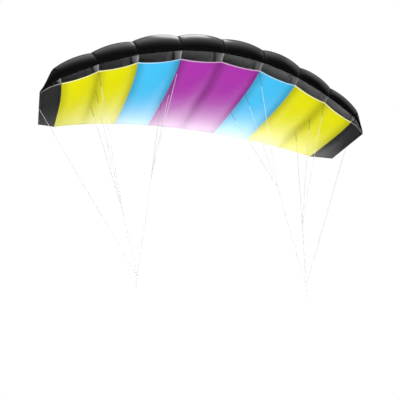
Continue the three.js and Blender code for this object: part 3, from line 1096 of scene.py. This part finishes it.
class KITE_OT_tie_bridle(bpy.types.Operator):
    """Tie the lines, leaders, knots and tow loops of both halves"""

    bl_idname = "kite.tie_bridle"
    bl_label = "Tie bridle"

    def execute(self, context):
        wing = context.scene.kite_wing
        bridle = context.scene.kite_bridle
        cord = braid("braided_line", bridle)
        # Lines from the skin get painted shade on their upper ends
        shaded_top_cord = braid("braided_line_with_painted_shade", bridle, bridle.shaded_top_length)
        for side, sign in HALVES.items():
            tie_half(wing, bridle, side, sign, cord, shaded_top_cord)
        return {"FINISHED"}


# Skins and ribs


def sew_panel(context, index, top, materials):
    """One panel of a skin, from rib to rib and from its lip to the tail."""
    wing = context.scene.kite_wing
    cloth = context.scene.kite_cloth
    grid = panel_grid(wing, cloth, index, top)
    skin = "top" if top else "bottom"
    piece = shell_piece(f"{skin}_cloth_{index + 1:02d}", grid, not top, materials)
    stand_for(piece, f"{skin}_panel_{index + 1:02d}")
    return piece


class KITE_OT_sew_top_skin(bpy.types.Operator):
    """Sew the black panels of the top skin"""

    bl_idname = "kite.sew_top_skin"
    bl_label = "Sew top skin"

    def execute(self, context):
        cloth = context.scene.kite_cloth
        outside = ripstop("black_ripstop", cloth, cloth.black, cloth.black, **TOP_FINISH)
        # Inner side painted a pale grey: painted light inside the cells
        inside = ripstop("black_ripstop_inside", cloth, cloth.lit_inner_side, cloth.lit_inner_side, **INNER_FINISH)
        for index in range(len(CELLS)):
            piece = sew_panel(context, index, True, [outside, inside])
            bpy.data.collections[NEAR_LIT].objects.link(piece)
        return {"FINISHED"}


class KITE_OT_sew_bottom_skin(bpy.types.Operator):
    """Sew the coloured panels of the bottom skin and its black tips"""

    bl_idname = "kite.sew_bottom_skin"
    bl_label = "Sew bottom skin"

    def execute(self, context):
        cloth = context.scene.kite_cloth
        finishes = {}
        for name in ("yellow", "cyan", "magenta"):
            colour = getattr(cloth, name)
            # Hem edge colour, partly a painted highlight
            hem = paler(colour, HEM_PALENESS)
            finishes[name] = ripstop(f"{name}_ripstop", cloth, colour, hem, **BOTTOM_FINISH)
        # Inner side painted a pale grey: painted light inside the cells
        inside = ripstop("bottom_ripstop_inside", cloth, cloth.lit_inner_side, cloth.lit_inner_side, **INNER_FINISH)
        tip = paler(cloth.black, TIP_PALENESS)
        tip_hem = paler(tip, TIP_HEM_PALENESS)
        finishes["black"] = ripstop("tip_ripstop", cloth, tip, tip_hem, **BOTTOM_FINISH)
        for index, cell in enumerate(CELLS):
            finish = finishes[cell["cloth"]]
            piece = sew_panel(context, index, False, [finish, inside])
            bpy.data.collections[TAIL_LIT].objects.link(piece)
        return {"FINISHED"}


def rib_grid(wing, cloth, number):
    """Two faces of a slightly slack rib in rings from its cross-port to its outline.

    Also gives the rib's flat size and area.
    """
    station = STATIONS[number]
    place = stations_at(wing, station)
    tail = math.sqrt(wing.rib_tail)
    outset = GAP / 2 + SKIN - cloth.thickness - RIB_CLEARANCE

    def edge(top):
        root = np.linspace(lip_root(wing, top), tail, RIB_STEPS)
        along, up = section(wing, place, root, top)
        normal = section_normal(wing, place, root, top)
        return np.stack([along + normal[0] * outset, up + normal[1] * outset], -1)

    outline = np.concatenate([edge(False), edge(True)[::-1]])
    outline = np.concatenate([outline, outline[:1]])
    length = lengths_along(outline)
    marks = np.linspace(0, length[-1], RIB_SIDES, endpoint=False)
    rim = np.stack([np.interp(marks, length, outline[:, axis]) for axis in (0, 1)], -1)
    centre = np.array([
        place.nose + wing.port_along * place.chord,
        (wing.port_up - wing.incidence * wing.port_along) * place.chord,
    ])
    turn = np.arctan2(*(rim - centre).T[::-1])
    oval = np.stack([wing.port_length * np.cos(turn), wing.port_height * np.sin(turn)], -1)
    port = centre + place.chord * oval
    shares = np.linspace(0, 1, RIB_RINGS + 1) ** RIB_CROWDING
    flat = mix(port[None], rim[None], shares[:, None, None])
    along, up = flat[..., 0], flat[..., 1]
    waves = np.sin(RIB_WAVES["along"] * along + RIB_WAVES["up"] * up + number)
    slack = RIB_SLACK * np.sin(math.pi * shares)[:, None] * waves
    inboard = math.copysign(TIP_RIB_SHIFT, station) if number in (1, len(CELLS) - 1) else 0.0
    sideways = np.array([place.cos, 0.0, -place.sin])
    middle = in_frame(place, along, up) + (slack - inboard)[..., None] * sideways
    half = cloth.thickness / 2 * sideways
    flat_area = 0.5 * abs(float(np.sum(
        rim[:, 0] * np.roll(rim[:, 1], -1) - np.roll(rim[:, 0], -1) * rim[:, 1])))
    size = rim.max(0) - rim.min(0)
    # Painted shade near the rib's edge, where it meets the skins
    edge_shade = np.exp(-((1 - shares) * RIB_EDGE_FALL)[:, None] ** 2) * RIB_EDGE_SHADE
    grid = SimpleNamespace(
        outer=middle + half,
        inner=middle - half,
        uv=flat,
        seam=edge_shade * np.ones(RIB_SIDES),
        lip=np.zeros(flat.shape[:2]),
        fade=np.zeros(flat.shape[:2]),
    )
    return grid, size, flat_area


class KITE_OT_fit_ribs(bpy.types.Operator):
    """Cut the ribs with their cross-ports and fit them between the skins"""

    bl_idname = "kite.fit_ribs"
    bl_label = "Fit ribs"

    def execute(self, context):
        wing = context.scene.kite_wing
        cloth = context.scene.kite_cloth
        finish = ripstop("grey_rib_cloth", cloth, cloth.grey, cloth.grey, **RIB_FINISH)
        for number in range(1, len(CELLS)):
            grid, size, area = rib_grid(wing, cloth, number)
            piece = shell_piece(f"rib_cloth_{number}", grid, False, [finish, finish], wrap=True)
            stand_for(piece, f"rib_{number}")
            bpy.data.collections[NEAR_LIT].objects.link(piece)
        return {"FINISHED"}


# Stitching


def stitch_tree(name):
    """Geometry nodes that lay stitches end to end along the edges of a mesh."""
    tree = bpy.data.node_groups.new(name, "GeometryNodeTree")
    inputs = {
        "Seams": "NodeSocketGeometry", "Stitch Length": "NodeSocketFloat",
        "Stitch Pitch": "NodeSocketFloat", "Thread": "NodeSocketFloat",
        "Material": "NodeSocketMaterial"}
    for socket, kind in inputs.items():
        tree.interface.new_socket(name=socket, in_out="INPUT", socket_type=kind)
    tree.interface.new_socket(
        name="Stitches", in_out="OUTPUT", socket_type="NodeSocketGeometry")
    given = add_node(tree, "NodeGroupInput").outputs
    curve = add_node(tree, "GeometryNodeMeshToCurve", links={0: given["Seams"]})
    even = add_node(
        tree, "GeometryNodeResampleCurve",
        links={"Curve": curve.outputs[0], "Length": given["Stitch Pitch"]}, mode="LENGTH")
    points = add_node(
        tree, "GeometryNodeCurveToPoints", links={"Curve": even.outputs[0]}, mode="EVALUATED")
    aim = add_node(
        tree, "FunctionNodeAlignRotationToVector", links={"Vector": points.outputs["Tangent"]},
        axis="Z")
    ball = add_node(
        tree, "GeometryNodeMeshUVSphere",
        values={"Segments": STITCH_SIDES, "Rings": STITCH_RINGS, "Radius": 0.5})
    size = add_node(
        tree, "ShaderNodeCombineXYZ",
        links={0: given["Thread"], 1: given["Thread"], 2: given["Stitch Length"]})
    shaped = add_node(
        tree, "GeometryNodeTransform",
        links={"Geometry": ball.outputs[0], "Scale": size.outputs[0]})
    uneven = add_node(
        tree, "FunctionNodeRandomValue",
        values={"Min": STITCH_LEAST, "Max": STITCH_MOST, "Seed": STITCH_SEED},
        data_type="FLOAT_VECTOR")
    laid = add_node(
        tree, "GeometryNodeInstanceOnPoints",
        links={
            "Points": points.outputs["Points"], "Instance": shaped.outputs[0],
            "Rotation": aim.outputs[0], "Scale": uneven.outputs[0]})
    real = add_node(tree, "GeometryNodeRealizeInstances", links={0: laid.outputs[0]})
    dyed = add_node(
        tree, "GeometryNodeSetMaterial",
        links={"Geometry": real.outputs[0], "Material": given["Material"]})
    add_node(tree, "NodeGroupOutput", links={0: dyed.outputs[0]})
    return tree


def stitch_paths(grid, stitch):
    """Rows of stitches of one panel: beside both seams, along the lip and along the tail."""
    points = grid.outer - STITCH_LIFT * stitch.thread * unit(grid.inner - grid.outer)
    left = grid.left[0]
    paths = []
    for wanted in (stitch.margin, left[-1] - stitch.margin):
        paths.append([[np.interp(wanted, left, axis) for axis in row.T] for row in points])
    for from_tail in (False, True):
        line = []
        for reach, column in zip(grid.reach.T, points.swapaxes(0, 1)):
            mark = reach[-1] - stitch.hem_margin if from_tail else stitch.hem_margin
            line.append([np.interp(mark, reach, axis) for axis in column.T])
        paths.append(line)
    return paths


def lay_stitches(context, name, tree, paths, given):
    """Stitches along paths, made by a node tree from the given inputs and kept as a mesh."""
    points = []
    edges = []
    for path in paths:
        first = len(points)
        points += path
        edges += [(first + step, first + step + 1) for step in range(len(path) - 1)]
    mesh = bpy.data.meshes.new(name)
    mesh.from_pydata(np.array(points).tolist(), edges, [])
    piece = bpy.data.objects.new(name, mesh)
    context.scene.collection.objects.link(piece)
    modifier = piece.modifiers.new("Stitches", "NODES")
    modifier.node_group = tree
    for item in tree.interface.items_tree:
        if item.name in given:
            modifier[item.identifier] = given[item.name]
    shown = piece.evaluated_get(context.evaluated_depsgraph_get())
    finished = bpy.data.meshes.new_from_object(shown)
    piece.modifiers.clear()
    piece.data = finished
    finished.shade_smooth()
    if not finished.polygons:
        raise RuntimeError(f"{name} has no stitches")
    return piece


class KITE_OT_stitch_seams(bpy.types.Operator):
    """Lay the stitches along seams and hems of both skins"""

    bl_idname = "kite.stitch_seams"
    bl_label = "Stitch seams"

    def execute(self, context):
        wing = context.scene.kite_wing
        cloth = context.scene.kite_cloth
        stitch = context.scene.kite_stitch
        tree = stitch_tree("seam_stitches")
        skins = (
            ("top_stitching", True, thread("dark_thread", stitch.dark), "black_ripstop"),
            ("bottom_stitching", False, thread("pale_thread", stitch.pale), "bridle_cord"),
        )
        for name, top, material, slot in skins:
            paths = []
            for index in range(len(CELLS)):
                paths += stitch_paths(panel_grid(wing, cloth, index, top), stitch)
            given = {
                "Stitch Length": stitch.length, "Stitch Pitch": stitch.pitch,
                "Thread": stitch.thread, "Material": material}
            piece = lay_stitches(context, name, tree, paths, given)
            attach(piece, BODY)
        return {"FINISHED"}


# Stage


def area_light(context, name, place, aim, size, power, along=(1.0, 0.0, 0.0)):
    """A soft rectangular light, itself unseen; along is the way of its first side."""
    data = bpy.data.lights.new(name, "AREA")
    data.shape = "RECTANGLE"
    data.size, data.size_y = size
    data.energy = power
    light = bpy.data.objects.new(name, data)
    light.location = place
    light.rotation_mode = "QUATERNION"
    back = (Vector(place) - Vector(aim)).normalized()
    side = (Vector(along) - back * back.dot(Vector(along))).normalized()
    light.rotation_quaternion = Matrix((side, back.cross(side), back)).transposed().to_quaternion()
    light.visible_camera = False
    context.scene.collection.objects.link(light)
    return light


def studio_sky(stage):
    """White round the kite for the camera; as light, soft from above and dark elsewhere."""
    world = bpy.data.worlds.new("studio_sky")
    world.use_nodes = True
    tree = world.node_tree
    tree.nodes.clear()
    towards = add_node(tree, "ShaderNodeTexCoord").outputs["Generated"]
    split = add_node(tree, "ShaderNodeSeparateXYZ", links={0: towards})
    upward = math_node(tree, "MAXIMUM", split.outputs[2], 0.0)
    above = math_node(tree, "POWER", upward, stage.sky_focus)
    strength = math_node(tree, "MULTIPLY", above, stage.sky)
    soft = add_node(
        tree, "ShaderNodeBackground", links={"Strength": strength}, values={"Color": WHITE})
    seen = add_node(tree, "ShaderNodeBackground", values={"Color": WHITE, "Strength": 1.0})
    ray = add_node(tree, "ShaderNodeLightPath").outputs["Is Camera Ray"]
    both = add_node(
        tree, "ShaderNodeMixShader", links={0: ray, 1: soft.outputs[0], 2: seen.outputs[0]})
    add_node(tree, "ShaderNodeOutputWorld", links={0: both.outputs[0]})
    return world


def place_camera(scene, stage):
    """The camera, turned by the stage's azimuth and elevation."""
    data = bpy.data.cameras.new("camera")
    data.lens = stage.lens
    data.sensor_width = SENSOR_WIDTH
    camera = bpy.data.objects.new("camera", data)
    camera.location = stage.camera_place
    back = Vector((
        math.sin(stage.azimuth) * math.cos(stage.elevation),
        -math.cos(stage.azimuth) * math.cos(stage.elevation),
        math.sin(stage.elevation),
    ))
    camera.rotation_mode = "QUATERNION"
    camera.rotation_quaternion = (-back).to_track_quat("-Z", "Y")
    scene.collection.objects.link(camera)
    scene.camera = camera


def hang_tail_strips(context, stage):
    """The bent row of strip lights behind the tail, which light the bottom skin alone."""
    tail_lit = bpy.data.collections.new(TAIL_LIT)
    ends = [strip["start"] for strip in TAIL_ROW[1:]] + [TAIL_ROW_END]
    for number, (row, end) in enumerate(zip(TAIL_ROW, ends), 1):
        start = row["start"]
        centre = (start + end) / 2
        along = (end - start).normalized()
        aim = TAIL_ROW_AIM - along * along.dot(TAIL_ROW_AIM - centre)
        size = ((end - start).length, TAIL_ROW_HEIGHT)
        power = math.pi * stage.glow * row["strength"] * size[0] * size[1]
        strip = area_light(context, f"tail_strip_{number}", centre, aim, size, power, along)
        strip.light_linking.receiver_collection = tail_lit


def hang_lights(context, stage):
    """Soft lights from above and the right, the strips, and the fills."""
    area_light(context, "overhead_soft", **OVERHEAD_SOFT)
    hang_tail_strips(context, stage)
    area_light(context, "right_soft", **RIGHT_SOFT)
    fills = {name: area_light(context, name, **row) for name, row in FILLS.items()}
    for fill in fills.values():
        fill.visible_glossy = False
    near_lit = bpy.data.collections.new(NEAR_LIT)
    fills["near_fill"].light_linking.receiver_collection = near_lit


def lay_floor(scene, stage):
    """A square of floor under the flying kite, not mirrored in its cloth."""
    mesh = bpy.data.meshes.new("floor")
    far = FLOOR.reach
    corners = [(-far, -far), (far, -far), (far, far), (-far, far)]
    mesh.from_pydata([(x, y, stage.floor_height) for x, y in corners], [], [(0, 1, 2, 3)])
    mesh.materials.append(floor_finish("pale_floor"))
    floor = bpy.data.objects.new("floor", mesh)
    scene.collection.objects.link(floor)
    floor.visible_glossy = False
    return floor


class KITE_OT_set_stage(bpy.types.Operator):
    """Place the camera, the lights and the floor"""

    bl_idname = "kite.set_stage"
    bl_label = "Set stage"

    def execute(self, context):
        scene = context.scene
        stage = scene.kite_stage
        place_camera(scene, stage)
        scene.view_settings.view_transform = "Standard"
        scene.world = studio_sky(stage)
        hang_lights(context, stage)
        lay_floor(scene, stage)
        return {"FINISHED"}


class KITE_PT_sidebar(bpy.types.Panel):
    """Settings and steps of the kite"""

    bl_label = "Foil kite"
    bl_idname = "KITE_PT_sidebar"
    bl_space_type = "VIEW_3D"
    bl_region_type = "UI"
    bl_category = "Foil kite"

    def draw(self, context):
        for step in STEPS:
            self.layout.operator(step.bl_idname)
        for name, group in SETTINGS.items():
            box = self.layout.box()
            box.label(text=group.__doc__)
            for value in group.__annotations__:
                box.prop(getattr(context.scene, name), value)


SETTINGS = {
    "kite_wing": WingSettings,
    "kite_cloth": ClothSettings,
    "kite_bridle": BridleSettings,
    "kite_stitch": StitchSettings,
    "kite_stage": StageSettings,
}
STEPS = (
    KITE_OT_set_stage,
    KITE_OT_tie_bridle,
    KITE_OT_sew_top_skin,
    KITE_OT_sew_bottom_skin,
    KITE_OT_fit_ribs,
    KITE_OT_stitch_seams,
)


def register():
    for kind in (*SETTINGS.values(), *STEPS, KITE_PT_sidebar):
        bpy.utils.register_class(kind)
    for name, group in SETTINGS.items():
        setattr(bpy.types.Scene, name, PointerProperty(type=group))


def unregister():
    for name in SETTINGS:
        delattr(bpy.types.Scene, name)
    for kind in reversed((*SETTINGS.values(), *STEPS, KITE_PT_sidebar)):
        bpy.utils.unregister_class(kind)


def main():
    register()
    bpy.ops.kite.set_stage()
    bpy.ops.kite.tie_bridle()
    bpy.ops.kite.sew_top_skin()
    bpy.ops.kite.sew_bottom_skin()
    bpy.ops.kite.fit_ribs()
    bpy.ops.kite.stitch_seams()


if __name__ == "__main__":
    main()
